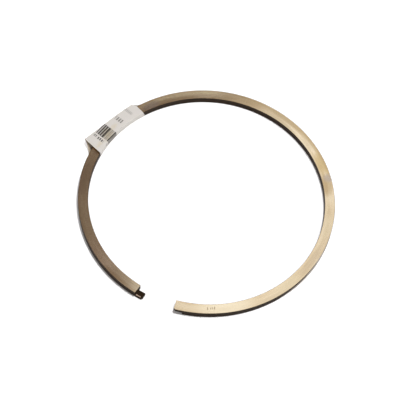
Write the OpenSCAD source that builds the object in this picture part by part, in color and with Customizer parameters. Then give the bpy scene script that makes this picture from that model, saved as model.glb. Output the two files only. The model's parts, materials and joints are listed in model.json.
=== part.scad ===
// Piston ring with a gas-tight lap joint, sprung open, and a folded paper stock label.
// The ring's axis is Z, its lower side face lies on Z = 0 and its gap is centred on -Y.

/* [Ring] */
// Diameter of the cylinder bore that the closed ring runs in
bore_d = 150; // [120:1:180]
// Radial thickness of the section
ring_t = 6.2; // [5:0.1:8]
// Axial height of the section
ring_h = 4.5; // [3.5:0.1:6]
// Width broken off each long edge of the section
edge_break = 0.25; // [0.1:0.05:0.4]

/* [Joint] */
// Gap between the two ends when the ring is sprung open, along the middle of the section
free_gap = 24.4; // [14:0.2:34]
// Gap left between the ends when the ring is closed in its bore
closed_gap = 0.6; // [0.3:0.1:1.2]
// Length of the tongue, along the middle of the section
tongue_l = 4.9; // [3:0.1:8]
// Radial width of the tongue
tongue_w = 4.1; // [2.5:0.1:4.6]
// Axial height of the tongue
tongue_h = 2.2; // [1.4:0.1:2.8]
// Width of the flat filed on the tongue's upper outer edge
tongue_flat = 0.8; // [0.3:0.1:1.2]
// Clearance between the tongue's sides and its recess
tongue_clear = 0.05; // [0.02:0.01:0.15]
// Room left ahead of the tongue's tip when the ring is closed
tip_clear = 0.6; // [0.3:0.1:1.2]
// Width broken off the outer corner of the recessed end and of the tongue's tip
end_break = 0.8; // [0.2:0.05:1]

/* [Label] */
// Length of the label along its outer fold
label_l = 40; // [30:1:45]
// Angle of the place where the fold runs square to the ring's radius
label_angle = 156; // [100:0.5:220]
// Length of label on the clockwise side of that place
label_back = 11.2; // [4:0.2:20]
// Distance of the fold from the running face's nearest point, at the clockwise end
fold_off = 2.3; // [1.5:0.1:6]
// Distance by which the fold comes in at its other end
fold_in = 0.9; // [0:0.1:1]
// Bow of the fold between its ends
fold_bow = 0.75; // [0:0.05:2]
// Width of the bend at the fold
fold_bend = 0.5; // [0.2:0.05:0.8]
// Length tucked in at the clockwise corner of the fold
corner_tuck = 1.5; // [0:0.1:3]
// Clockwise shift of the inner flap's edge
flap_skew = 1.4; // [0:0.1:3]
// Height of the inner flap's edge above the lower side face
flap_z = 0.9; // [0.4:0.1:2]
// Height of the return layer's edge above the lower side face
foot_z = 0.4; // [0.3:0.1:1.5]
// Extra reach of the return layer's edge at the clockwise end
foot_back = 6.8; // [0:0.2:10]
// Extra reach of the return layer's edge at the other end
foot_ahead = 4.6; // [0:0.2:8]
// Length over which that edge follows the running face from the loose end, before it runs straight on
foot_hug = 33.5; // [10:0.5:45]
// Lift of the label's loose end off the upper side face
end_lift = 1.6; // [0:0.1:2.5]
// Thickness of the paper
paper_t = 0.12; // [0.08:0.01:0.2]
// Thickness of the adhesive film between paper and ring
film_t = 0.05; // [0.03:0.01:0.1]

/* [Hidden] */
$fn = 180;

// Bending the ring open leaves the length of its middle line as it is
ring_ro = bore_d / 2 + (free_gap - closed_gap) / (2 * PI);
ring_ri = ring_ro - ring_t;
mid_r = ring_ro - ring_t / 2;
gap_deg = arc_deg(free_gap);
tongue_end = -90 - gap_deg / 2;
recess_end = -90 + gap_deg / 2;
recess_l = tongue_l - closed_gap + tip_clear;

// A cut runs past the faces that it opens by this much
past = 1;

label_ahead = label_l - label_back;
label_steps = 24;

// The tuck begins at this share of the way across the top
tuck_from = 2 / 3;
// The higher this is, the later the loose end curls up
curl_power = 5;

// Where each point of the paper's line starts along the fold, and where it ends: the flap's edge,
// the inner corner's two points, the start of the tuck, the fold's two points, the return layer's edge
line_starts = [
    -label_back - flap_skew,
    -label_back,
    -label_back,
    -label_back,
    -label_back + corner_tuck,
    -label_back + corner_tuck,
    -label_back - foot_back
];
line_ends = [
    label_ahead - flap_skew,
    label_ahead,
    label_ahead,
    label_ahead,
    label_ahead,
    label_ahead,
    label_ahead + foot_ahead
];

bronze = [0.74, 0.62, 0.44];
paper_white = [0.87, 0.85, 0.82];

function arc_deg(length) = length / mid_r * 180 / PI;

// Distance from the label's own Y axis to a round wall of radius r, at y along the fold
function wall_x(r, y) = sqrt(r * r - y * y);

// Share of the label's length that lies clockwise of y
function share_at(y) = max(0, min(1, (y + label_back) / label_l));

// The loose end rises in a curl
function lift_at(y) = end_lift * pow(share_at(y), curl_power);

function fold_x(y) =
    let (share = share_at(y))
    ring_ro + fold_off - fold_in * share + fold_bow * sin(180 * share);

// The return layer's edge follows the wall from the loose end and runs straight on from there
function foot_x(y) =
    let (straight = max(0, label_ahead + foot_ahead - foot_hug - y))
    wall_x(ring_ro + film_t, y) + straight * straight / (2 * ring_ro);

// The paper's inner side from the flap's edge over the ring to the return layer's edge, as [x, z]
function inner_line(y) =
    let (
        flap_x = wall_x(ring_ri - film_t, y),
        top_x = flap_x + edge_break,
        bend_x = fold_x(y) - fold_bend,
        top_z = ring_h + film_t + lift_at(y)
    ) [
        [flap_x, flap_z],
        [flap_x, top_z - edge_break],
        [top_x, top_z],
        [top_x + (bend_x - top_x) * tuck_from, top_z],
        [bend_x, top_z],
        [fold_x(y), top_z - fold_bend],
        [foot_x(y), foot_z]
    ];

function unit(v) = v / norm(v);
function left_of(v) = [-v[1], v[0]];
function side_normal(line, i) = left_of(unit(line[i + 1] - line[i]));

// The same line moved to its left by a distance, with mitred corners
function moved_left(line, distance) =
    let (last = len(line) - 1) [
        for (i = [0 : last])
            let (
                before = side_normal(line, max(i - 1, 0)),
                after = side_normal(line, min(i, last - 1))
            )
            line[i] + distance * (before + after) / (1 + before * after)
    ];

function reversed(list) = [for (i = [len(list) - 1 : -1 : 0]) list[i]];

// Places along the fold of the line's points, at a share of the way from its start to its end
function line_ys(share) =
    [for (i = [0 : len(line_starts) - 1]) line_starts[i] + (line_ends[i] - line_starts[i]) * share];

// The paper's closed outline at that share, as [x, y, z]
function paper_outline(share) =
    let (
        ys = line_ys(share),
        line = [for (i = [0 : len(ys) - 1]) inner_line(ys[i])[i]],
        outside = moved_left(line, paper_t)
    )
    concat(with_ys(line, ys), reversed(with_ys(outside, ys)));

function with_ys(line, ys) = [for (i = [0 : len(ys) - 1]) [line[i][0], ys[i], line[i][1]]];

// Outline of the ring's section as [radius, z], with its four long edges broken
module ring_section() {
    polygon([
        [ring_ri + edge_break, 0],
        [ring_ro - edge_break, 0],
        [ring_ro, edge_break],
        [ring_ro, ring_h - edge_break],
        [ring_ro - edge_break, ring_h],
        [ring_ri + edge_break, ring_h],
        [ring_ri, ring_h - edge_break],
        [ring_ri, edge_break]
    ]);
}

// The tongue takes the outer lower corner of the ring's section
module tongue_section() {
    tongue_ri = ring_ro - tongue_w;
    polygon([
        [tongue_ri, 0],
        [ring_ro - edge_break, 0],
        [ring_ro, edge_break],
        [ring_ro, tongue_h - tongue_flat],
        [ring_ro - tongue_flat, tongue_h],
        [tongue_ri + edge_break, tongue_h],
        [tongue_ri, tongue_h - edge_break]
    ]);
}

// The recess leaves its clearance round the tongue and is open outwards and below
module recess_section() {
    recess_ri = ring_ro - tongue_w - tongue_clear;
    polygon([
        [recess_ri, -past],
        [ring_ro + past, -past],
        [ring_ro + past, tongue_h + tongue_clear],
        [recess_ri, tongue_h + tongue_clear]
    ]);
}

// Revolves a section anticlockwise from an angle along a length of the ring's middle line
module along_ring(from_deg, length) {
    rotate([0, 0, from_deg])
        rotate_extrude(angle = arc_deg(length))
            children();
}

// Takes the sharp outer corner off an end, between two heights
module corner_cut(end_deg, low_z, high_z) {
    rotate([0, 0, end_deg])
        translate([ring_ro, 0, (low_z + high_z) / 2])
            rotate([0, 0, 45])
                cube([end_break * sqrt(2), end_break * sqrt(2), high_z - low_z], center = true);
}

// One turned piece: the sprung band, the tongue on one end and its recess in the other
module ring() {
    tongue_tip = tongue_end + arc_deg(tongue_l);
    recess_top = tongue_h + tongue_clear;
    root_overlap = edge_break;
    color(bronze)
        difference() {
            union() {
                along_ring(recess_end, 2 * PI * mid_r - free_gap) ring_section();
                along_ring(tongue_end - arc_deg(root_overlap), tongue_l + root_overlap) tongue_section();
            }
            along_ring(recess_end - arc_deg(past), recess_l + past) recess_section();
            corner_cut(tongue_tip, -past, tongue_h + past);
            corner_cut(recess_end, recess_top, ring_h + past);
        }
}

// One folded sheet, skinned from outlines at even steps along its fold
module paper_label() {
    outlines = [for (i = [0 : label_steps]) paper_outline(i / label_steps)];
    per = len(outlines[0]);
    points = [for (outline = outlines) each outline];
    sides = [
        for (i = [0 : label_steps - 1], j = [0 : per - 1])
            let (
                a = i * per + j,
                b = i * per + (j + 1) % per,
                c = b + per,
                d = a + per
            )
            each [[a, d, c], [a, c, b]]
    ];
    // Each end is a strip between the sheet's two sides
    first_end = [
        for (j = [0 : per / 2 - 2])
            let (
                a = j,
                b = j + 1,
                c = per - 2 - j,
                d = per - 1 - j
            )
            each [[a, b, c], [a, c, d]]
    ];
    last_start = label_steps * per;
    last_end = [for (face = first_end) [for (k = reversed(face)) last_start + k]];
    color(paper_white)
        rotate([0, 0, label_angle])
            polyhedron(points = points, faces = concat(sides, first_end, last_end));
}

ring();
paper_label();
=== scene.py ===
import json
import math

import bpy
from mathutils import Matrix, Vector


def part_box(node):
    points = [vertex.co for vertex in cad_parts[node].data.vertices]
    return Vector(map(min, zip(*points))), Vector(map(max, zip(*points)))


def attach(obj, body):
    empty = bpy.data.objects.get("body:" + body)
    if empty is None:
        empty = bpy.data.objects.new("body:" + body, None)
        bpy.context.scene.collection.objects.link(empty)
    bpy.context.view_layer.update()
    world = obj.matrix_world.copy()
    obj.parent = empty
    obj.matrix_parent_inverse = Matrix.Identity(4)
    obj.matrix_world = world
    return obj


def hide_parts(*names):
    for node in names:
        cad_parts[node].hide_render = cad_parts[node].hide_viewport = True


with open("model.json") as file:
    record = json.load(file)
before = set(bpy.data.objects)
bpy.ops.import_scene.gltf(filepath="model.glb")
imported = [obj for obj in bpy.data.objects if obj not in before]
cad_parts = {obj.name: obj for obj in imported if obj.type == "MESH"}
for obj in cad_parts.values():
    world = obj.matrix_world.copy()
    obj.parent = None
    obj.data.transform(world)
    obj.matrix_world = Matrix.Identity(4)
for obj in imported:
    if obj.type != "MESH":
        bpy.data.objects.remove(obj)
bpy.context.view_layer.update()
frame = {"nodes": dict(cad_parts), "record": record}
print("frame loaded:", sorted(frame["nodes"]))

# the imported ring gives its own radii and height
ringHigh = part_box("ring")[1]
innerWall = next(mount for mount in frame["record"]["mounts"] if mount["name"] == "inner_wall")
outerRadius = max(ringHigh.x, ringHigh.y)
innerRadius = innerWall["dims"]["r_mm"] / 1000
midRadius = (outerRadius + innerRadius) / 2
ringHeight = ringHigh.z
weldDistance = 0.000001


def pickOnly(piece):
    bpy.ops.object.select_all(action="DESELECT")
    piece.select_set(True)
    bpy.context.view_layer.objects.active = piece


def arcDeg(length):
    return math.degrees(length / midRadius)  # along the middle of the section


def polarPoint(radius, degrees, z):
    turn = math.radians(degrees)
    return Vector((radius * math.cos(turn), radius * math.sin(turn), z))


def applyPlace(piece):
    pickOnly(piece)
    bpy.ops.object.transform_apply(location=True, rotation=True, scale=True)


# ring: one section spun round the axis, then the joint cut into its two ends
ringShape = {
    "freeGap": 0.0244,        # opening between the ends, along the middle of the section
    "edgeRound": 0.00016,     # radius on the four long edges
    "roundSteps": 4,
    "spinSteps": 420,
    "tongueLength": 0.0049,
    "tongueWidth": 0.0041,
    "tongueHeight": 0.0022,
    "tongueRoot": 0.00025,    # the tongue's blank starts this far inside the ring's end
    "tongueSteps": 12,
    "recessLength": 0.0049,
    "recessClear": 0.00005,
    "recessSteps": 16,
    "tongueFlat": 0.0008,     # filed off the tongue's upper outer edge
    "flatFacets": 2,
    "flatBright": (0.14, 0.74),  # painted highlight on the upper facet between these shares of the tongue
    "endBreak": 0.0009,       # corner taken off the recessed end and the tongue's tip
    "jointRound": 0.00009,    # small round on the sawn and filed joint edges
    "jointSteps": 2,
    "squareFrom": 40,         # degrees: edges sharper than this belong to the joint
    "smoothTo": 30,           # degrees: faces that meet at less than this are shaded as one
    "past": 0.001,            # cutters run past the faces that they open
}

# shallow punch marks on the upper face near the recess end
punchMarks = {
    "centreDeg": -64.6,
    "radius": 0.0752,
    "depth": 0.00008,
    "strokeWidth": 0.00040,
    # place along the ring, place across it, length, slant in degrees
    "strokes": [
        (-0.0019, 0.0003, 0.0018, 3),
        (0.0000, 0.0002, 0.0012, -6),
        (0.0011, 0.0001, 0.0013, 8),
        (0.0023, 0.0000, 0.0020, -3),
    ],
}


def addSection(name, inner, outer, low, high):
    bpy.ops.object.select_all(action="DESELECT")
    bpy.ops.mesh.primitive_plane_add(
        size=1,
        location=((inner + outer) / 2, 0, (low + high) / 2),
        rotation=(math.pi / 2, 0, 0),
    )
    section = bpy.context.object
    section.name = name
    section.scale = (outer - inner, high - low, 1)
    applyPlace(section)
    return section


def breakCorners(section, width, steps, chosen):
    pickOnly(section)
    bpy.ops.object.mode_set(mode="EDIT")
    bpy.ops.mesh.select_mode(type="VERT")
    bpy.ops.mesh.select_all(action="DESELECT")
    bpy.ops.object.mode_set(mode="OBJECT")
    for corner in section.data.vertices:
        corner.select = chosen(corner.co)
    bpy.ops.object.mode_set(mode="EDIT")
    bpy.ops.mesh.bevel(
        offset=width,
        offset_type="OFFSET",
        segments=steps,
        profile=0.5,
        affect="VERTICES",
    )
    bpy.ops.object.mode_set(mode="OBJECT")


def spinSection(section, fromDeg, sweepDeg, steps):
    pickOnly(section)
    bpy.ops.object.mode_set(mode="EDIT")
    bpy.ops.mesh.select_all(action="SELECT")
    bpy.ops.mesh.spin(
        steps=steps,
        angle=math.radians(sweepDeg),
        center=(0, 0, 0),
        axis=(0, 0, -1),  # spin turns clockwise about its axis
    )
    bpy.ops.mesh.select_all(action="SELECT")
    bpy.ops.mesh.remove_doubles(threshold=weldDistance)
    bpy.ops.mesh.normals_make_consistent(inside=False)
    bpy.ops.object.mode_set(mode="OBJECT")
    section.rotation_euler.z = math.radians(fromDeg)
    applyPlace(section)


def combine(piece, tool, operation):
    pickOnly(piece)
    joined = piece.modifiers.new(operation.lower(), "BOOLEAN")
    joined.operation = operation
    joined.solver = "EXACT"
    joined.object = tool
    bpy.ops.object.modifier_apply(modifier=joined.name)
    bpy.data.objects.remove(tool)


def addBlock(name, place, size, turnDeg):
    bpy.ops.object.select_all(action="DESELECT")
    bpy.ops.mesh.primitive_cube_add(size=1, location=place, rotation=(0, 0, math.radians(turnDeg)))
    block = bpy.context.object
    block.name = name
    block.scale = size
    applyPlace(block)
    return block


def makeRing(shape):
    gapDeg = arcDeg(shape["freeGap"])
    tongueEnd = -90 - gapDeg / 2
    recessEnd = -90 + gapDeg / 2
    tongueDeg = arcDeg(shape["tongueLength"])
    rootDeg = arcDeg(shape["tongueRoot"])
    pastDeg = arcDeg(shape["past"])

    band = addSection("pistonRing", innerRadius, outerRadius, 0, ringHeight)
    breakCorners(band, shape["edgeRound"], shape["roundSteps"], lambda co: True)
    spinSection(band, recessEnd, 360 - gapDeg, shape["spinSteps"])

    tongueInner = outerRadius - shape["tongueWidth"]
    tongue = addSection("tongueBlank", tongueInner, outerRadius, 0, shape["tongueHeight"])
    tongueMiddle = shape["tongueHeight"] / 2
    breakCorners(
        tongue,
        shape["tongueFlat"],
        shape["flatFacets"],
        lambda co: co.x > midRadius and co.z > tongueMiddle,
    )
    breakCorners(
        tongue,
        shape["edgeRound"],
        shape["roundSteps"],
        lambda co: (co.x > midRadius) != (co.z > tongueMiddle),
    )
    spinSection(tongue, tongueEnd - rootDeg, tongueDeg + rootDeg, shape["tongueSteps"])
    combine(band, tongue, "UNION")

    recess = addSection(
        "recessCutter",
        tongueInner - shape["recessClear"],
        outerRadius + shape["past"],
        -shape["past"],
        shape["tongueHeight"] + shape["recessClear"],
    )
    recessDeg = arcDeg(shape["recessLength"])
    spinSection(recess, recessEnd - pastDeg, recessDeg + pastDeg, shape["recessSteps"])
    combine(band, recess, "DIFFERENCE")

    # the outer corners of the recessed end and of the tongue's tip are broken at 45 degrees
    side = shape["endBreak"] * math.sqrt(2)
    for endDeg, low, high in (
        (tongueEnd + tongueDeg, -shape["past"], shape["tongueHeight"] + shape["past"]),
        (recessEnd, shape["tongueHeight"] + shape["recessClear"], ringHeight + shape["past"]),
    ):
        corner = addBlock(
            "cornerCutter",
            polarPoint(outerRadius, endDeg, (low + high) / 2),
            (side, side, high - low),
            endDeg + 45,
        )
        combine(band, corner, "DIFFERENCE")

    # only the joint still has square edges, so an angle limit finds them
    pickOnly(band)
    bevel = band.modifiers.new("jointRound", "BEVEL")
    bevel.width = shape["jointRound"]
    bevel.segments = shape["jointSteps"]
    bevel.limit_method = "ANGLE"
    bevel.angle_limit = math.radians(shape["squareFrom"])
    bpy.ops.object.modifier_apply(modifier=bevel.name)
    return band


def punchRing(band, marks):
    for along, across, length, slant in marks["strokes"]:
        degrees = marks["centreDeg"] + arcDeg(along)
        stroke = addBlock(
            "punchStroke",
            polarPoint(marks["radius"] + across, degrees, ringHeight),
            (length, marks["strokeWidth"], 2 * marks["depth"]),
            degrees + slant,
        )
        combine(band, stroke, "DIFFERENCE")


pistonRing = makeRing(ringShape)
punchRing(pistonRing, punchMarks)
pickOnly(pistonRing)
bpy.ops.object.shade_smooth_by_angle(angle=math.radians(ringShape["smoothTo"]))
# keeps the wide faces flat beside their rounds
flatFaces = pistonRing.modifiers.new("flatFaces", "WEIGHTED_NORMAL")
flatFaces.keep_sharp = True
bpy.ops.object.modifier_apply(modifier=flatFaces.name)
print("ring modelled:", len(pistonRing.data.polygons), "faces")


# label: a flat grid laid over the ring, folded outside the running face
labelShape = {
    "foldDeg": 156.0,         # where the fold runs square to the ring's radius
    "back": 0.0112,           # reach of the upper layer clockwise of that place, along the fold
    "ahead": 0.0292,          # reach anticlockwise
    "cornerTuck": 0.0015,     # the clockwise corner at the fold is tucked in
    "tuckFrom": 2 / 3,        # from this share of the way across the top
    "cornerReach": 0.0006,    # the anticlockwise one reaches a little further
    "flapSkew": 0.0014,       # the flap's lower edge is shifted clockwise
    "footBack": 0.0068,       # the return layer reaches further round at its foot
    "footAhead": 0.0046,
    "footHug": 0.0335,        # the foot follows the wall for this, from the loose end, and runs straight on
    "foldOff": 0.0023,        # distance of the fold from the running face at its clockwise end
    "foldIn": 0.0009,         # it comes in by this at the other end
    "foldBow": 0.00075,       # and bows out between them
    "foldRound": 0.0006,
    "bendPast": 30,           # degrees that the bend turns past upright
    "footPinch": 0.2,         # below the fold the return layer draws in, most at its anticlockwise end
    "flapLow": 0.0003,        # lower edge of the flap on the inner wall
    "footLow": 0.0004,        # lower edge of the return layer
    "endLift": 0.0016,        # the anticlockwise end curls off the face
    "curlPower": 5,           # the higher this is, the later it curls
    "film": 0.00006,
    "paper": 0.00012,
    "alongSteps": 72,
    "flapSteps": 5,
    "cornerSteps": 5,
    "topSteps": 12,
    "foldSteps": 6,
    "returnSteps": 8,
    "smoothTo": 50,           # degrees: faces that meet at less than this are shaded as one
    "mapSize": 0.05,          # the sheet's flat map is this wide and long
}
labelLength = labelShape["back"] + labelShape["ahead"]


def spread(first, last, steps):
    return [first + (last - first) * step / steps for step in range(steps + 1)]


def foldedLine(along, shape):
    # section of the sheet at one place along its fold, from the flap to the foot, as (out, up)
    share = max(0, min(1, (along + shape["back"]) / labelLength))
    flapOut = math.sqrt((innerRadius - shape["film"]) ** 2 - along ** 2)
    footOut = math.sqrt((outerRadius + shape["film"]) ** 2 - along ** 2)
    straight = max(0, shape["ahead"] + shape["footAhead"] - shape["footHug"] - along)
    footOut += straight ** 2 / (2 * outerRadius)
    foldOut = outerRadius + shape["foldOff"] - shape["foldIn"] * share
    foldOut += shape["foldBow"] * math.sin(math.pi * share)
    top = ringHeight + shape["film"] + shape["endLift"] * share ** shape["curlPower"]
    corner = ringShape["edgeRound"] + shape["film"]
    bend = shape["foldRound"]
    line = [(flapOut, up) for up in spread(shape["flapLow"], top - corner, shape["flapSteps"])]
    for turn in spread(math.pi, math.pi / 2, shape["cornerSteps"])[1:]:
        line.append((flapOut + corner + corner * math.cos(turn), top - corner + corner * math.sin(turn)))
    line += [(out, top) for out in spread(flapOut + corner, foldOut - bend, shape["topSteps"])[1:]]
    for turn in spread(math.pi / 2, -math.radians(shape["bendPast"]), shape["foldSteps"])[1:]:
        line.append((foldOut - bend + bend * math.cos(turn), top - bend + bend * math.sin(turn)))
    lastOut, lastUp = line[-1]
    for left in spread(1, 0, shape["returnSteps"])[1:]:
        drawn = left ** (1 + shape["footPinch"] * share)
        out = footOut + (lastOut - footOut) * drawn
        up = shape["footLow"] + (lastUp - shape["footLow"]) * left
        line.append((out, up))
    return line


def rowEnds(row, shape):
    # how far the sheet reaches at its two ends: tucked in at the fold, longer at the foot
    topStart = shape["flapSteps"] + shape["cornerSteps"]
    foldStart = topStart + shape["topSteps"]
    returnStart = foldStart + shape["foldSteps"]
    downFlap = max(0, 1 - row / shape["flapSteps"])
    overTop = max(0, min(1, (row - topStart) / shape["topSteps"]))
    overReturn = max(0, (row - returnStart) / shape["returnSteps"])
    tuck = shape["cornerTuck"] * max(0, overTop - shape["tuckFrom"]) / (1 - shape["tuckFrom"])
    skew = shape["flapSkew"] * downFlap
    return (
        -shape["back"] + tuck - skew - shape["footBack"] * overReturn,
        shape["ahead"] + shape["cornerReach"] * overTop - skew + shape["footAhead"] * overReturn ** 2,
    )


def makeLabel(shape):
    across = len(foldedLine(0, shape)) - 1
    foldRow = shape["flapSteps"] + shape["cornerSteps"] + shape["topSteps"] + shape["foldSteps"] // 2
    bpy.ops.object.select_all(action="DESELECT")
    bpy.ops.mesh.primitive_grid_add(x_subdivisions=shape["alongSteps"], y_subdivisions=across, size=1)
    sheet = bpy.context.object
    sheet.name = "paperLabel"
    turn = Matrix.Rotation(math.radians(shape["foldDeg"]), 3, "Z")
    flat = {}
    for corner in sheet.data.vertices:
        row = round((corner.co.y + 0.5) * across)
        first, last = rowEnds(row, shape)
        along = first + (last - first) * (corner.co.x + 0.5)
        line = foldedLine(along, shape)
        # distance over the paper from the fold: more than 0 on the upper layer
        low, high = min(row, foldRow), max(row, foldRow)
        reach = sum(math.dist(line[i], line[i + 1]) for i in range(low, high))
        reach = reach if row < foldRow else -reach
        flat[corner.index] = (0.5 + along / shape["mapSize"], 0.5 + reach / shape["mapSize"])
        out, up = line[row]
        corner.co = turn @ Vector((out, along, up))
    sheetMap = sheet.data.uv_layers[0]
    sheetMap.name = "sheetMap"
    for loop in sheet.data.loops:
        sheetMap.data[loop.index].uv = flat[loop.vertex_index]
    return sheet


def thickenLabel(sheet, shape):
    for finish in labelFinishes:
        sheet.data.materials.append(finish)
    pickOnly(sheet)
    bpy.ops.object.mode_set(mode="EDIT")
    bpy.ops.mesh.select_all(action="SELECT")
    bpy.ops.mesh.flip_normals()
    bpy.ops.object.mode_set(mode="OBJECT")
    solid = sheet.modifiers.new("paper", "SOLIDIFY")
    solid.thickness = shape["paper"]
    solid.offset = 1
    solid.material_offset = 1
    bpy.ops.object.modifier_apply(modifier=solid.name)
    bpy.ops.object.shade_smooth_by_angle(angle=math.radians(shape["smoothTo"]))


labelFinishes = [bpy.data.materials.new(name) for name in ("printedPaper", "paperBack")]
paperLabel = makeLabel(labelShape)
thickenLabel(paperLabel, labelShape)
print("label folded:", len(paperLabel.data.polygons), "faces")


# materials
def newMaterial(name):
    material = bpy.data.materials.get(name) or bpy.data.materials.new(name)
    material.use_nodes = True
    return material, material.node_tree, material.node_tree.nodes["Principled BSDF"]


def addNode(tree, kind, place, inputs=None, **settings):
    node = tree.nodes.new(kind)
    node.location = place
    for setting, value in settings.items():
        setattr(node, setting, value)
    for socket, value in (inputs or {}).items():
        if isinstance(value, bpy.types.NodeSocket):
            tree.links.new(value, node.inputs[socket])
        else:
            node.inputs[socket].default_value = value
    return node


def addMath(tree, place, operation, first, second=0.0, third=0.0):
    node = addNode(tree, "ShaderNodeMath", place, {0: first, 1: second, 2: third}, operation=operation)
    return node.outputs[0]


def addRamp(tree, place, factor, stops, interpolation="LINEAR"):
    node = addNode(tree, "ShaderNodeValToRGB", place, {0: factor})
    ramp = node.color_ramp
    ramp.interpolation = interpolation
    while len(ramp.elements) < len(stops):
        ramp.elements.new(1.0)
    for element, (position, colour) in zip(ramp.elements, stops):
        element.position = position
        element.color = colour
    return node.outputs[0]


def addMix(tree, place, factor, first, second, blend="MIX"):
    node = addNode(tree, "ShaderNodeMix", place, data_type="RGBA", blend_type=blend)
    for socket, value in ((node.inputs[0], factor), (node.inputs[6], first), (node.inputs[7], second)):
        if isinstance(value, bpy.types.NodeSocket):
            tree.links.new(value, socket)
        else:
            socket.default_value = value
    return node.outputs[2]


def grey(value):
    return (value, value, value, 1)


# cells of the grain's noise: along the ring for each radian, across it for each metre
grainPattern = {
    "streakAlong": 2.2,
    "stainAlong": 3.1,
    "stainAcross": 260.0,
}


def makeRingGrainGroup():
    # turning and lapping marks that run round the axis, and soft stains
    group = bpy.data.node_groups.new("ringGrain", "ShaderNodeTree")
    group.interface.new_socket("Fineness", in_out="INPUT", socket_type="NodeSocketFloat")
    group.interface.new_socket("StainScale", in_out="INPUT", socket_type="NodeSocketFloat")
    for name in ("Streaks", "Stain", "Angle", "Across", "Height"):
        group.interface.new_socket(name, in_out="OUTPUT", socket_type="NodeSocketFloat")
    start = addNode(group, "NodeGroupInput", (-1200, 0))
    end = addNode(group, "NodeGroupOutput", (700, 0))
    place = addNode(group, "ShaderNodeTexCoord", (-1400, 200)).outputs["Object"]
    # turned so that the angle's jump falls in the gap
    turned = addNode(group, "ShaderNodeMapping", (-1200, 200), {0: place, "Rotation": (0, 0, -math.pi / 2)})
    axes = addNode(group, "ShaderNodeSeparateXYZ", (-1000, 200), {0: turned.outputs[0]})
    angle = addMath(group, (-800, 100), "ARCTAN2", axes.outputs[1], axes.outputs[0])
    flat = addNode(group, "ShaderNodeCombineXYZ", (-800, 300), {0: axes.outputs[0], 1: axes.outputs[1]})
    radius = addNode(group, "ShaderNodeVectorMath", (-600, 300), {0: flat.outputs[0]}, operation="LENGTH")
    radius = radius.outputs["Value"]
    # streaks are long round the ring and thin across it
    fineAcross = addMath(group, (-400, 300), "MULTIPLY", radius, start.outputs["Fineness"])
    upward = addMath(group, (-400, 150), "MULTIPLY", axes.outputs[2], start.outputs["Fineness"])
    along = addMath(group, (-400, 0), "MULTIPLY", angle, grainPattern["streakAlong"])
    drawn = addNode(group, "ShaderNodeCombineXYZ", (-200, 200), {0: fineAcross, 1: along, 2: upward})
    streaks = addNode(
        group, "ShaderNodeTexNoise", (0, 250),
        {"Vector": drawn.outputs[0], "Scale": 1.0, "Detail": 4.0, "Roughness": 0.65},
    )
    stainAcross = addMath(group, (-400, -150), "MULTIPLY", radius, grainPattern["stainAcross"])
    stainAlong = addMath(group, (-400, -300), "MULTIPLY", angle, grainPattern["stainAlong"])
    stainPlace = addNode(
        group, "ShaderNodeCombineXYZ", (-200, -200),
        {0: stainAcross, 1: stainAlong, 2: upward},
    )
    stain = addNode(
        group, "ShaderNodeTexNoise", (0, -150),
        {
            "Vector": stainPlace.outputs[0],
            "Scale": start.outputs["StainScale"],
            "Detail": 3.0,
            "Roughness": 0.5,
        },
    )
    # degrees from the back of the ring, and -1 at the inner wall to 1 at the outer one
    degrees = addMath(group, (200, -300), "MULTIPLY", angle, 180 / math.pi)
    offMiddle = addMath(group, (0, -450), "SUBTRACT", radius, midRadius)
    across = addMath(group, (200, -450), "DIVIDE", offMiddle, (outerRadius - innerRadius) / 2)
    group.links.new(streaks.outputs["Fac"], end.inputs["Streaks"])
    group.links.new(stain.outputs["Fac"], end.inputs["Stain"])
    group.links.new(degrees, end.inputs["Angle"])
    group.links.new(across, end.inputs["Across"])
    group.links.new(axes.outputs[2], end.inputs["Height"])
    return group


ringGrain = makeRingGrainGroup()


def addGrain(tree, look):
    grain = addNode(tree, "ShaderNodeGroup", (-900, 0), node_tree=ringGrain)
    grain.inputs["Fineness"].default_value = look["fineness"]
    grain.inputs["StainScale"].default_value = look["stainScale"]
    return grain.outputs


def shadeStreaks(tree, grain, colour, look):
    dark, light = look["streakShade"]
    streak = addRamp(tree, (-600, -100), grain["Streaks"], [(0.3, grey(dark)), (0.7, grey(light))])
    return addMix(tree, (-300, 200), 1.0, colour, streak, "MULTIPLY")


def grainRoughness(tree, shader, grain, look):
    low, high = look["roughness"]
    rough = addNode(
        tree, "ShaderNodeMapRange", (-300, -100),
        {0: grain["Streaks"], 1: 0.25, 2: 0.75, 3: low, 4: high},
    )
    tree.links.new(rough.outputs[0], shader.inputs["Roughness"])


def addBump(tree, shader, height, look):
    strength, depth = look["bump"]
    bump = addNode(
        tree, "ShaderNodeBump", (-300, -350),
        {"Strength": strength, "Distance": depth, "Height": height},
    )
    tree.links.new(bump.outputs[0], shader.inputs["Normal"])


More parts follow.
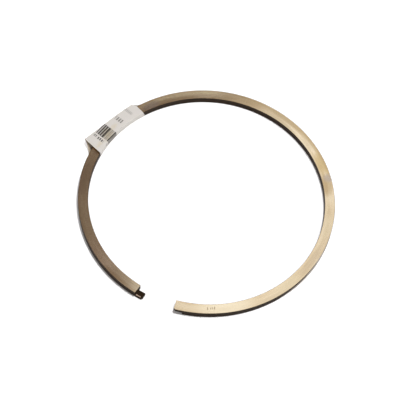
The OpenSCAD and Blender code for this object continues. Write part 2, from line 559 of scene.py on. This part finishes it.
# ground side faces
faceBronze = {
    "fineness": 5200,
    "stainScale": 1.0,
    "stains": [
        (0.30, (0.655, 0.445, 0.255, 1)),
        (0.48, (0.74, 0.515, 0.312, 1)),
        (0.70, (0.80, 0.585, 0.375, 1)),
    ],
    "streakShade": (0.88, 0.955),
    "roughness": (0.245, 0.275),
    "bump": (0.06, 0.00002),  # strength and depth
    "metallic": 1.0,
    "ragged": 1.1,            # how uneven the edges of the marks below are
    # marks, partly handling stains and partly painted shade and painted highlight that set the face's
    # reflected brightness round the ring:
    # degrees from the back, place across (-1 to 1), half lengths along and across, strength, colour
    "marks": [
        (-57.5, -0.4, 8.0, 1.9, 0.85, (0.465, 0.288, 0.138, 1)),
        (-54, 0.4, 3.2, 1.2, 0.80, (0.47, 0.340, 0.255, 1)),
        (-45, 0.3, 9.0, 1.7, 0.75, (0.54, 0.340, 0.135, 1)),
        (-33, 0.2, 7.0, 1.4, 0.55, (0.60, 0.415, 0.24, 1)),
        (-20, 1.0, 37.0, 1.2, 0.95, (0.50, 0.325, 0.165, 1)),
        (-12, 0.0, 18.0, 2.0, 0.40, (0.54, 0.375, 0.215, 1)),
        (5, 0.0, 15.0, 2.6, 0.75, (0.48, 0.300, 0.150, 1)),
        (40, 0.7, 28.0, 1.6, 1.00, (1.00, 0.760, 0.460, 1)),
        (40, -1.0, 30.0, 1.3, 0.75, (0.54, 0.360, 0.195, 1)),
        (104, 0.2, 13.0, 2.4, 0.60, (0.60, 0.410, 0.265, 1)),
        (150, 0.0, 16.0, 2.4, 0.45, (0.80, 0.510, 0.335, 1)),
        (161, 0.8, 11.0, 2.4, 0.80, (0.445, 0.262, 0.136, 1)),
        (52, -0.2, 6.0, 1.1, 0.70, (0.62, 0.470, 0.375, 1)),
        (16, -0.9, 8.0, 1.0, 0.75, (0.52, 0.345, 0.190, 1)),
        (-15, -1.0, 14.0, 1.0, 0.55, (0.58, 0.410, 0.240, 1)),
        (-81, 0.0, 8.0, 1.5, 0.60, (0.75, 0.540, 0.335, 1)),
        (-99, 0.1, 12.0, 0.9, 0.70, (0.60, 0.405, 0.240, 1)),
        (-117, 0.0, 9.0, 1.6, 0.70, (0.765, 0.555, 0.340, 1)),
        (-127, 0.9, 10.0, 0.9, 0.55, (0.62, 0.435, 0.260, 1)),
        (-148, -0.2, 17.0, 1.8, 0.45, (0.94, 0.725, 0.49, 1)),
    ],
}


def markMask(tree, place, onward, aside, ragged, mark):
    # a soft oval: middle along and across, half lengths along and across, strength
    middleOn, middleAside, halfOn, halfAside, strength = mark
    left, top = place
    onward = addMath(tree, (left, top), "SUBTRACT", onward, middleOn)
    onward = addMath(tree, (left + 160, top), "DIVIDE", onward, halfOn)
    onward = addMath(tree, (left + 320, top), "POWER", onward, 2.0)
    aside = addMath(tree, (left, top - 160), "SUBTRACT", aside, middleAside)
    aside = addMath(tree, (left + 160, top - 160), "DIVIDE", aside, halfAside)
    aside = addMath(tree, (left + 320, top - 160), "POWER", aside, 2.0)
    away = addMath(tree, (left + 480, top), "ADD", onward, aside)
    away = addMath(tree, (left + 640, top), "ADD", away, ragged)
    fade = addNode(
        tree, "ShaderNodeMapRange", (left + 800, top),
        {0: away, 1: 0.0, 2: 1.0, 3: strength, 4: 0.0},
        interpolation_type="SMOOTHSTEP",
    )
    return fade.outputs[0]


def makeFaceBronze():
    material, tree, shader = newMaterial("groundBronze")
    grain = addGrain(tree, faceBronze)
    bronze = addRamp(tree, (-600, 200), grain["Stain"], faceBronze["stains"])
    # each mark has a ragged edge from the same noise as the stains
    ragged = addMath(tree, (-900, 800), "SUBTRACT", grain["Stain"], 0.5)
    ragged = addMath(tree, (-740, 800), "MULTIPLY", ragged, faceBronze["ragged"])
    # painted shade and painted highlight: some of these marks darken or lighten the face where its
    # reflection falls off or brightens
    for number, (*mark, colour) in enumerate(faceBronze["marks"]):
        top = 1000 + 400 * number
        mask = markMask(tree, (-1500, top), grain["Angle"], grain["Across"], ragged, mark)
        bronze = addMix(tree, (-450, top), mask, bronze, colour)
    bronze = shadeStreaks(tree, grain, bronze, faceBronze)
    tree.links.new(bronze, shader.inputs["Base Color"])
    grainRoughness(tree, shader, grain, faceBronze)
    addBump(tree, shader, grain["Streaks"], faceBronze)
    shader.inputs["Metallic"].default_value = faceBronze["metallic"]
    return material


# painted shade: the walls are a dark copy of the faces' bronze, standing in for the shade that they show
paintedShadeBronze = {
    "fineness": 3600,
    "stainScale": 1.4,
    "stains": [
        (0.30, (0.022, 0.0125, 0.0065, 1)),
        (0.70, (0.046, 0.0285, 0.0155, 1)),
    ],
    "streakShade": (0.7, 1.0),
    "roughness": (0.42, 0.60),
    "bump": (0.3, 0.00003),   # strength and depth
    "metallic": 0.2,
    "specular": 0.03,
}

# painted reflection: a bright stretch of the running face, painted where it would mirror the lit floor
# beside it; it starts at its foot and rises to its full height
paintedWallSheen = {
    "mark": (-104, 1.0, 27.0, 0.6, 1.00),  # degrees from the back, place across, half lengths, strength
    "riseFrom": -132,         # degrees from the back where it starts at the foot
    "riseTo": -94,            # and where it has reached the top
    "soft": 0.12,             # half width of its upper edge, as a share of the height
    "colour": (0.49, 0.445, 0.395, 1),
}


def paintedSheenStretch(tree, grain):
    ragged = addMath(tree, (-900, 500), "SUBTRACT", grain["Stain"], 0.5)
    # painted reflection: a soft oval along the running face
    worn = markMask(tree, (-1500, 900), grain["Angle"], grain["Across"], ragged, paintedWallSheen["mark"])
    soft = paintedWallSheen["soft"]
    top = addNode(
        tree, "ShaderNodeMapRange", (-1500, 1400),
        {0: grain["Angle"], 1: paintedWallSheen["riseFrom"], 2: paintedWallSheen["riseTo"], 3: -soft, 4: 1 + soft},
    )
    share = addMath(tree, (-1500, 1600), "DIVIDE", grain["Height"], ringHeight)
    over = addMath(tree, (-1300, 1500), "SUBTRACT", share, top.outputs[0])
    below = addNode(
        tree, "ShaderNodeMapRange", (-1100, 1500),
        {0: over, 1: -soft, 2: soft, 3: 1.0, 4: 0.0},
        interpolation_type="SMOOTHSTEP",
    )
    return addMath(tree, (-600, 900), "MULTIPLY", worn, below.outputs[0])


def makeWallBronze():
    material, tree, shader = newMaterial("paintedShadeWall")
    grain = addGrain(tree, paintedShadeBronze)
    # painted shade: the walls' dark colour
    dark = addRamp(tree, (-600, 200), grain["Stain"], paintedShadeBronze["stains"])
    # painted reflection: the bright stretch laid over the walls' painted shade
    dark = addMix(tree, (-450, 500), paintedSheenStretch(tree, grain), dark, paintedWallSheen["colour"])
    dark = shadeStreaks(tree, grain, dark, paintedShadeBronze)
    tree.links.new(dark, shader.inputs["Base Color"])
    grainRoughness(tree, shader, grain, paintedShadeBronze)
    addBump(tree, shader, grain["Streaks"], paintedShadeBronze)
    shader.inputs["Metallic"].default_value = paintedShadeBronze["metallic"]
    shader.inputs["Specular IOR Level"].default_value = paintedShadeBronze["specular"]
    return material


# bare bronze in the punch marks, and a painted highlight on the tongue's filed edge
bareBronze = {
    "fineness": 5200,
    "stainScale": 6.0,
    "roughness": (0.45, 0.60),
    # darker and lighter colour, metallic
    "kinds": {
        "punchedBronze": ((0.50, 0.345, 0.19, 1), (0.62, 0.44, 0.25, 1), 1.0),
        # painted highlight: lighter, less metallic bronze for the lit strip of the tongue's facet
        "paintedHighlightBronze": ((0.46, 0.335, 0.255, 1), (0.52, 0.385, 0.295, 1), 0.2),
    },
}


def makeBareBronze(name):
    darker, lighter, metallic = bareBronze["kinds"][name]
    material, tree, shader = newMaterial(name)
    grain = addGrain(tree, bareBronze)
    dull = addRamp(tree, (-600, 200), grain["Stain"], [(0.30, darker), (0.70, lighter)])
    tree.links.new(dull, shader.inputs["Base Color"])
    grainRoughness(tree, shader, grain, bareBronze)
    shader.inputs["Metallic"].default_value = metallic
    return material


# print on the label: bars and rows of short marks, in millimetres from the middle of the bars
labelPrint = {
    "middle": (16.3, 5.5),    # along the fold and in from it
    "turnDeg": -7.4,          # the print stands a little askew on the fold
    "barsFrom": -4.3,
    "barsTo": 4.3,
    "acrossFrom": -6.0,
    "acrossTo": 9.0,
    "betweenBars": 0.20,      # how dark the gaps between the bars have become
    # where each bar starts across the print, its width and how dark it is
    "bars": [
        (-4.85, 0.75, 0.90),
        (-3.65, 1.05, 0.98),
        (-2.15, 1.10, 0.98),
        (-0.60, 1.40, 1.00),
        (0.80, 1.00, 0.40),
        (2.00, 0.65, 0.62),
        (2.95, 0.60, 0.54),
        (4.15, 0.85, 1.00),
        (5.35, 1.10, 1.00),
        (7.10, 1.30, 0.95),
    ],
    # middle of each row along the print, height, from and to across it, pitch of its marks, darkness
    "rows": [
        (6.1, 1.9, -5.2, -2.2, 1.15, 0.85),
        (6.3, 1.9, -2.1, 3.2, 1.50, 1.00),
        (5.7, 1.8, 6.0, 8.0, 1.40, 0.80),
        (-12.6, 2.8, -2.7, 2.6, 1.7, 0.80),
        (-21.1, 2.0, -4.4, 3.2, 1.0, 0.50),
    ],
    # middle of each stain along the print and across it, half lengths, strength
    "stains": [
        (-6.4, 1.0, 4.2, 2.0, 0.55),
        (9.4, 2.5, 4.4, 1.9, 0.60),
        (0.2, 1.8, 6.0, 6.2, 0.85),
    ],
    "stainRagged": 2.4,
    "stainColour": (0.52, 0.455, 0.325, 1),
    "inkColour": (0.032, 0.026, 0.023, 1),
    "markShare": 0.6,         # share of the pitch that each mark takes up
    "faintest": 0.65,         # the rows are printed unevenly, down to this share of their darkness
    "wornInk": 0.92,          # all ink is worn in places, down to this share
}


# the sheet's paper, with a clean and a stained colour for each side
paperLook = {
    "fibreScale": 2600.0,
    "stainScale": 170.0,
    "fibreShade": 0.94,
    "bump": (0.2, 0.00004),   # strength and depth
    "roughness": 0.62,
    "specular": 0.35,
    "printedSide": ((0.560, 0.535, 0.505, 1), (0.48, 0.42, 0.33, 1)),
    "backSide": ((0.64, 0.60, 0.56, 1), (0.58, 0.515, 0.40, 1)),
}


def makePaperGroup():
    # paper fibre and faint yellow stains
    group = bpy.data.node_groups.new("paperFibre", "ShaderNodeTree")
    for name in ("Fibre", "Stain"):
        group.interface.new_socket(name, in_out="OUTPUT", socket_type="NodeSocketFloat")
    end = addNode(group, "NodeGroupOutput", (400, 0))
    place = addNode(group, "ShaderNodeTexCoord", (-400, 0)).outputs["Object"]
    fibre = addNode(
        group, "ShaderNodeTexNoise", (0, 150),
        {"Vector": place, "Scale": paperLook["fibreScale"], "Detail": 4.0, "Roughness": 0.7},
    )
    stain = addNode(
        group, "ShaderNodeTexNoise", (0, -150),
        {"Vector": place, "Scale": paperLook["stainScale"], "Detail": 2.0, "Roughness": 0.5},
    )
    group.links.new(fibre.outputs["Fac"], end.inputs["Fibre"])
    group.links.new(stain.outputs["Fac"], end.inputs["Stain"])
    return group


paperFibre = makePaperGroup()


def paperBase(tree, shader, side):
    clean, stained = paperLook[side]
    paper = addNode(tree, "ShaderNodeGroup", (-900, 0), node_tree=paperFibre).outputs
    colour = addRamp(tree, (-600, 200), paper["Stain"], [(0.60, clean), (0.85, stained)])
    shade = [(0.3, grey(paperLook["fibreShade"])), (0.7, grey(1.0))]
    fibre = addRamp(tree, (-600, -100), paper["Fibre"], shade)
    colour = addMix(tree, (-300, 200), 1.0, colour, fibre, "MULTIPLY")
    addBump(tree, shader, paper["Fibre"], paperLook)
    shader.inputs["Roughness"].default_value = paperLook["roughness"]
    shader.inputs["Specular IOR Level"].default_value = paperLook["specular"]
    return colour


def between(tree, place, value, low, high):
    above = addMath(tree, place, "GREATER_THAN", value, low)
    below = addMath(tree, (place[0], place[1] - 160), "LESS_THAN", value, high)
    return addMath(tree, (place[0] + 180, place[1]), "MULTIPLY", above, below)


def barStops():
    low, width = labelPrint["acrossFrom"], labelPrint["acrossTo"] - labelPrint["acrossFrom"]
    stops = [(0.0, grey(0))]
    for start, size, dark in labelPrint["bars"]:
        stops += [
            ((start - low) / width, grey(dark)),
            ((start + size - low) / width, grey(labelPrint["betweenBars"])),
        ]
    stops[-1] = (stops[-1][0], grey(0))
    return stops


def makePrintedPaper():
    material, tree, shader = newMaterial("printedPaper")
    paper = paperBase(tree, shader, "printedSide")
    sheet = addNode(tree, "ShaderNodeUVMap", (-2600, -600), uv_map="sheetMap").outputs[0]
    millimetres = labelShape["mapSize"] * 1000
    middle = [-millimetres / 2 - offset for offset in labelPrint["middle"]]
    centred = addNode(
        tree, "ShaderNodeMapping", (-2400, -600),
        {0: sheet, "Location": (*middle, 0), "Scale": (millimetres, millimetres, 1)},
    )
    turned = addNode(
        tree, "ShaderNodeMapping", (-2200, -600),
        {0: centred.outputs[0], "Rotation": (0, 0, math.radians(labelPrint["turnDeg"]))},
    )
    axes = addNode(tree, "ShaderNodeSeparateXYZ", (-2000, -600), {0: turned.outputs[0]})
    along, across = axes.outputs[0], axes.outputs[1]
    worn = addNode(
        tree, "ShaderNodeTexNoise", (-2000, -900),
        {"Vector": turned.outputs[0], "Scale": 0.9, "Detail": 3.0},
    ).outputs["Fac"]
    ragged = addMath(tree, (-1800, -900), "SUBTRACT", worn, 0.45)
    ragged = addMath(tree, (-1650, -900), "MULTIPLY", ragged, labelPrint["stainRagged"])
    for number, stain in enumerate(labelPrint["stains"]):
        drop = 700 + 400 * number
        mask = markMask(tree, (-1500, drop), along, across, ragged, stain)
        paper = addMix(tree, (-450, drop), mask, paper, labelPrint["stainColour"])
    inBars = between(tree, (-1700, -500), along, labelPrint["barsFrom"], labelPrint["barsTo"])
    share = addNode(
        tree, "ShaderNodeMapRange", (-1700, -1200),
        {0: across, 1: labelPrint["acrossFrom"], 2: labelPrint["acrossTo"]},
    )
    bars = addRamp(tree, (-1400, -1200), share.outputs[0], barStops(), "CONSTANT")
    ink = addMath(tree, (-1300, -600), "MULTIPLY", inBars, bars)
    patchy = addNode(
        tree, "ShaderNodeMapRange", (-1000, -1400),
        {0: worn, 1: 0.40, 2: 0.55, 3: labelPrint["faintest"], 4: 1.0},
    )
    for number, (middleAlong, height, low, high, pitch, dark) in enumerate(labelPrint["rows"]):
        drop = -1700 - 700 * number
        inRow = between(tree, (-1700, drop), along, middleAlong - height / 2, middleAlong + height / 2)
        inSpan = between(tree, (-1700, drop - 350), across, low, high)
        cell = addMath(tree, (-1400, drop - 350), "DIVIDE", across, pitch)
        phase = addMath(tree, (-1200, drop - 350), "FRACT", cell)
        mark = addMath(tree, (-1000, drop - 350), "LESS_THAN", phase, labelPrint["markShare"])
        row = addMath(tree, (-1000, drop), "MULTIPLY", inRow, inSpan)
        row = addMath(tree, (-800, drop), "MULTIPLY", row, mark)
        row = addMath(tree, (-600, drop), "MULTIPLY", row, dark)
        row = addMath(tree, (-500, drop), "MULTIPLY", row, patchy.outputs[0])
        ink = addMath(tree, (-400, drop), "MAXIMUM", ink, row)
    wear = addNode(
        tree, "ShaderNodeMapRange", (-600, -900),
        {0: worn, 1: 0.35, 2: 0.7, 3: 1.0, 4: labelPrint["wornInk"]},
    )
    ink = addMath(tree, (-400, -900), "MULTIPLY", ink, wear.outputs[0])
    printed = addMix(tree, (-100, 200), ink, paper, labelPrint["inkColour"])
    tree.links.new(printed, shader.inputs["Base Color"])
    return material


# painted shade: the sheet's inner side turns dark and brown towards its anticlockwise end, where it lies in
# shade inside the sleeve's mouth beside the bronze
paintedMouthShade = {
    "from": 0.006,            # along the fold, as in labelShape
    "to": 0.022,
    "colour": (0.44, 0.365, 0.275, 1),
}


def makePlainPaper():
    material, tree, shader = newMaterial("paperBack")
    colour = paperBase(tree, shader, "backSide")
    sheet = addNode(tree, "ShaderNodeUVMap", (-1200, 500), uv_map="sheetMap")
    along = addNode(tree, "ShaderNodeSeparateXYZ", (-1000, 500), {0: sheet.outputs[0]})
    low, high = [0.5 + paintedMouthShade[end] / labelShape["mapSize"] for end in ("from", "to")]
    # painted shade: grows along the sheet towards its anticlockwise end
    shadedShare = addNode(tree, "ShaderNodeMapRange", (-800, 500), {0: along.outputs[0], 1: low, 2: high})
    colour = addMix(tree, (-100, 400), shadedShare.outputs[0], colour, paintedMouthShade["colour"])
    tree.links.new(colour, shader.inputs["Base Color"])
    return material


# how a face of the ring is told from its place
finishPlaces = {
    "level": 0.000001,        # a side face lies this near its height
    "rim": 0.001,             # the punch marks stay this far from both walls
    "punchedTo": 1.5,         # their walls end within this many depths
    "punchedFrom": 0.02,      # they are on this side of the axis
    "facetUp": (0.8, 0.98),   # upward part of the normal on the tongue's upper facet
}


def inPunchMark(face):
    rim = finishPlaces["rim"]
    middle = innerRadius + rim < face.center.xy.length < outerRadius - rim
    shallow = ringHeight - face.center.z < finishPlaces["punchedTo"] * punchMarks["depth"]
    return middle and shallow and face.center.x > finishPlaces["punchedFrom"]


def onPaintedHighlightFacet(face):
    least, most = finishPlaces["facetUp"]
    height = ringShape["tongueHeight"]
    onFlat = height - ringShape["tongueFlat"] < face.center.z < height
    turn = math.degrees(math.atan2(face.center.y, face.center.x))
    fromRoot = turn + 90 + arcDeg(ringShape["freeGap"]) / 2
    low, high = [arcDeg(ringShape["tongueLength"]) * share for share in ringShape["flatBright"]]
    return least < face.normal.z < most and onFlat and low < fromRoot < high


def ringFinish(face):
    # 0 on the two side faces, 2 in the punch marks, 3 on the painted highlight of the tongue's facet, 1 on
    # every other wall, which is in painted shade
    if min(face.center.z, ringHeight - face.center.z) < finishPlaces["level"]:
        return 0
    if inPunchMark(face):
        return 2
    return 3 if onPaintedHighlightFacet(face) else 1


for finish in (makeFaceBronze(), makeWallBronze(), *[makeBareBronze(name) for name in bareBronze["kinds"]]):
    pistonRing.data.materials.append(finish)
for face in pistonRing.data.polygons:
    face.material_index = ringFinish(face)
makePrintedPaper()
makePlainPaper()
print("materials made:", [material.name for material in bpy.data.materials])

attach(pistonRing, "root")
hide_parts("ring")
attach(paperLabel, "root")
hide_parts("paper_label")


# studio: pale floor, cards that only the metal mirrors, soft lights for all that is matt
studio = {
    "viewDeg": 18.35,         # camera stands this far round from the gap
    "elevation": 60.05,
    "distance": 1.0739,
    "roll": 5.73,
    "lens": 157.3,
    "sensor": 36,
    "clip": (0.01, 50),       # nearest and furthest that the camera sees
    "aim": (-0.00403, -0.00071, 0),
    "floorSize": 8.0,
    "floorColour": (0.92, 0.92, 0.92, 1),
    "floorGlow": 0.13,
    "floorRoughness": 0.9,
    "floorSpecular": 0.1,
    "levelCards": ("mirrorCard", "backCard"),  # these two lie level, and the others face the origin
    "cardDeg": 0.35,          # heading of the level ones
    "worldColour": (0.202, 0.184, 0.178, 1),
    "horizonColour": (0.62, 0.60, 0.57, 1),  # only mirrored, in the ring's face as seen from low down
    "horizonFrom": 44,        # degrees up where that brightness begins, going down
    "horizonFull": 30,
}
# name, place in the camera's own heading (right, away, up), width, depth, watts, colour and what it lights:
# glossy is only mirrored, matt is not mirrored, floor and label light that one piece
lights = [
    ("mirrorCard", (0.059, 0.160, 0.30), 0.146, 0.40, 0.26, (0.82, 1.0, 1.15), "glossy"),
    ("edgeCard", (-0.77, -0.50, 0.42), 0.30, 0.30, 0.85, (0.72, 0.91, 1.26), "glossy"),
    ("backCard", (-0.035, 0.273, 0.30), 0.05, 0.05, 0.0026, (0.95, 1.0, 1.1), "glossy"),
    ("topWindow", (0.26, 0.07, 1.50), 0.15, 0.15, 20.0, (1, 1, 1), "matt"),
    ("rightFill", (1.20, 0.10, 0.80), 0.6, 0.6, 4.0, (1, 1, 1), "matt"),
    ("floorFill", (-0.105, 0.050, 0.060), 0.03, 0.03, 0.025, (1, 1, 1), "floor"),
    ("mouthFill", (0.00, -0.55, 0.38), 0.3, 0.1, 1.5, (1, 1, 1), "label"),
]


def fromCamera(right, away, up):
    return Matrix.Rotation(math.radians(studio["viewDeg"]), 3, "Z") @ Vector((right, away, up))


def makeFloor():
    bpy.ops.object.select_all(action="DESELECT")
    bpy.ops.mesh.primitive_plane_add(size=studio["floorSize"])
    floor = bpy.context.object
    floor.name = "paleFloor"
    material, _, shader = newMaterial("palePaperFloor")
    shader.inputs["Base Color"].default_value = studio["floorColour"]
    shader.inputs["Emission Color"].default_value = studio["floorColour"]
    shader.inputs["Emission Strength"].default_value = studio["floorGlow"]
    shader.inputs["Roughness"].default_value = studio["floorRoughness"]
    shader.inputs["Specular IOR Level"].default_value = studio["floorSpecular"]
    floor.data.materials.append(material)
    return floor


def makeLights(floor):
    onlyLit = {"floor": floor, "label": paperLabel}
    for name, place, width, depth, watts, colour, lit in lights:
        lamp = bpy.data.lights.new(name, "AREA")
        lamp.shape = "RECTANGLE"
        lamp.size = width
        lamp.size_y = depth
        lamp.energy = watts
        lamp.color = colour
        fixture = bpy.data.objects.new(name, lamp)
        bpy.context.scene.collection.objects.link(fixture)
        fixture.location = fromCamera(*place)
        fixture.rotation_mode = "QUATERNION"
        if name in studio["levelCards"]:
            heading = Matrix.Rotation(math.radians(studio["cardDeg"]), 3, "Z")
            fixture.rotation_quaternion = heading.to_quaternion()
        else:
            fixture.rotation_quaternion = (-fixture.location).to_track_quat("-Z", "Y")
        fixture.visible_camera = False
        fixture.visible_diffuse = lit != "glossy"
        fixture.visible_glossy = lit == "glossy"
        if lit in onlyLit:
            taking = bpy.data.collections.new(name + "Takes")
            taking.objects.link(onlyLit[lit])
            fixture.light_linking.receiver_collection = taking


def makeRoom():
    world = bpy.data.worlds.new("softRoom")
    world.use_nodes = True
    tree = world.node_tree
    heading = addNode(tree, "ShaderNodeTexCoord", (-1000, 0)).outputs["Generated"]
    upward = addNode(tree, "ShaderNodeSeparateXYZ", (-800, 0), {0: heading}).outputs[2]
    low = addNode(
        tree, "ShaderNodeMapRange", (-600, 0),
        {
            0: upward,
            1: math.sin(math.radians(studio["horizonFull"])),
            2: math.sin(math.radians(studio["horizonFrom"])),
            3: 1.0,
            4: 0.0,
        },
        interpolation_type="SMOOTHSTEP",
    ).outputs[0]
    mirrored = addNode(tree, "ShaderNodeLightPath", (-600, 300)).outputs["Is Glossy Ray"]
    share = addMath(tree, (-400, 100), "MULTIPLY", low, mirrored)
    colour = addMix(tree, (-200, 0), share, studio["worldColour"], studio["horizonColour"])
    tree.links.new(colour, tree.nodes["Background"].inputs[0])
    bpy.context.scene.world = world


def makeCamera():
    lensData = bpy.data.cameras.new("photoCamera")
    lensData.lens = studio["lens"]
    lensData.sensor_width = studio["sensor"]
    lensData.clip_start, lensData.clip_end = studio["clip"]
    camera = bpy.data.objects.new("photoCamera", lensData)
    bpy.context.scene.collection.objects.link(camera)
    tilt = math.radians(studio["elevation"])
    camera.location = fromCamera(0, -math.cos(tilt), math.sin(tilt)) * studio["distance"]
    looking = (Vector(studio["aim"]) - camera.location).to_track_quat("-Z", "Y")
    rolled = looking.to_matrix() @ Matrix.Rotation(math.radians(studio["roll"]), 3, "Z")
    camera.rotation_mode = "QUATERNION"
    camera.rotation_quaternion = rolled.to_quaternion()
    bpy.context.scene.camera = camera


makeLights(makeFloor())
makeRoom()
makeCamera()
bpy.context.scene.view_settings.view_transform = "Standard"
print("studio ready")
